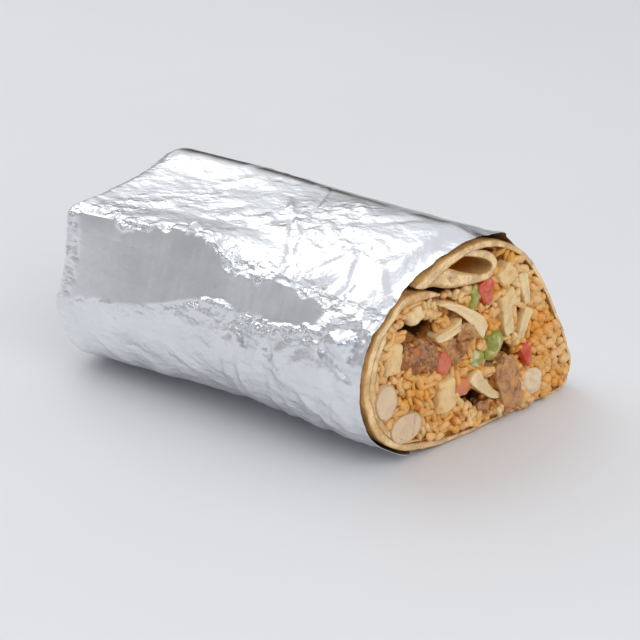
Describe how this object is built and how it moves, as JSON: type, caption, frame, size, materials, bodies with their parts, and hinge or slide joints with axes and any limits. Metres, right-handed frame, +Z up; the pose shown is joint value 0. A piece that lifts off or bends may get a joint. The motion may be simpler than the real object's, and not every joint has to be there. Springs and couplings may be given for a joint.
{
  "type": "foil-wrapped half burrito",
  "caption": "Half burrito in crumpled foil, lying on its side: folded end behind, cut face in front showing the rolled tortilla, rice, beans, meat and vegetables.",
  "frame": {"origin": "under the middle of the whole burrito, on the surface it lies on", "axes": "+X along the burrito's axis towards the cut face, +Y across towards its far side, +Z up"},
  "size_m": [0.1278, 0.0892, 0.0591],
  "materials": {
    "foil": "thin crumpled sheet, bright and half glossy, with sharp creases",
    "tortilla": "soft floury wheat tortilla with light brown griddle spots, dull",
    "rice": "moist orange seasoned rice, some grains pale, softly glossy",
    "bean": "pale mealy bean cut through, with a thin skin at its rim",
    "potato": "cooked pale yellow potato, moist",
    "onion": "softened translucent onion and cabbage strips, wet",
    "meat": "roast meat cut across the grain, greasy, with fibres",
    "tomato": "diced raw tomato, wet and glossy",
    "pepper": "soft green pepper, wet",
    "cheese": "white crumbly fresh cheese"
  },
  "bodies": {
    "root": {"foil": "foil", "tortilla": "tortilla", "filling": "rice", "bean_upper": "bean", "bean_lower": "bean", "potato_left": "potato", "potato_middle": "potato", "meat_left": "meat", "tomato_left": "tomato", "meat_middle": "meat", "onion_left": "onion", "meat_upper": "meat", "onion_long": "onion", "onion_corner": "onion", "pepper_top": "pepper", "tomato_top": "tomato", "pepper_middle": "pepper", "pepper_left": "pepper", "onion_wedge": "onion", "tomato_low": "tomato", "meat_right": "meat", "meat_low": "meat", "cheese_right": "cheese", "tomato_right": "tomato", "onion_right": "onion", "onion_centre": "onion", "potato_right": "potato", "potato_top": "potato", "onion_top": "onion"}
  },
  "joints": []
}
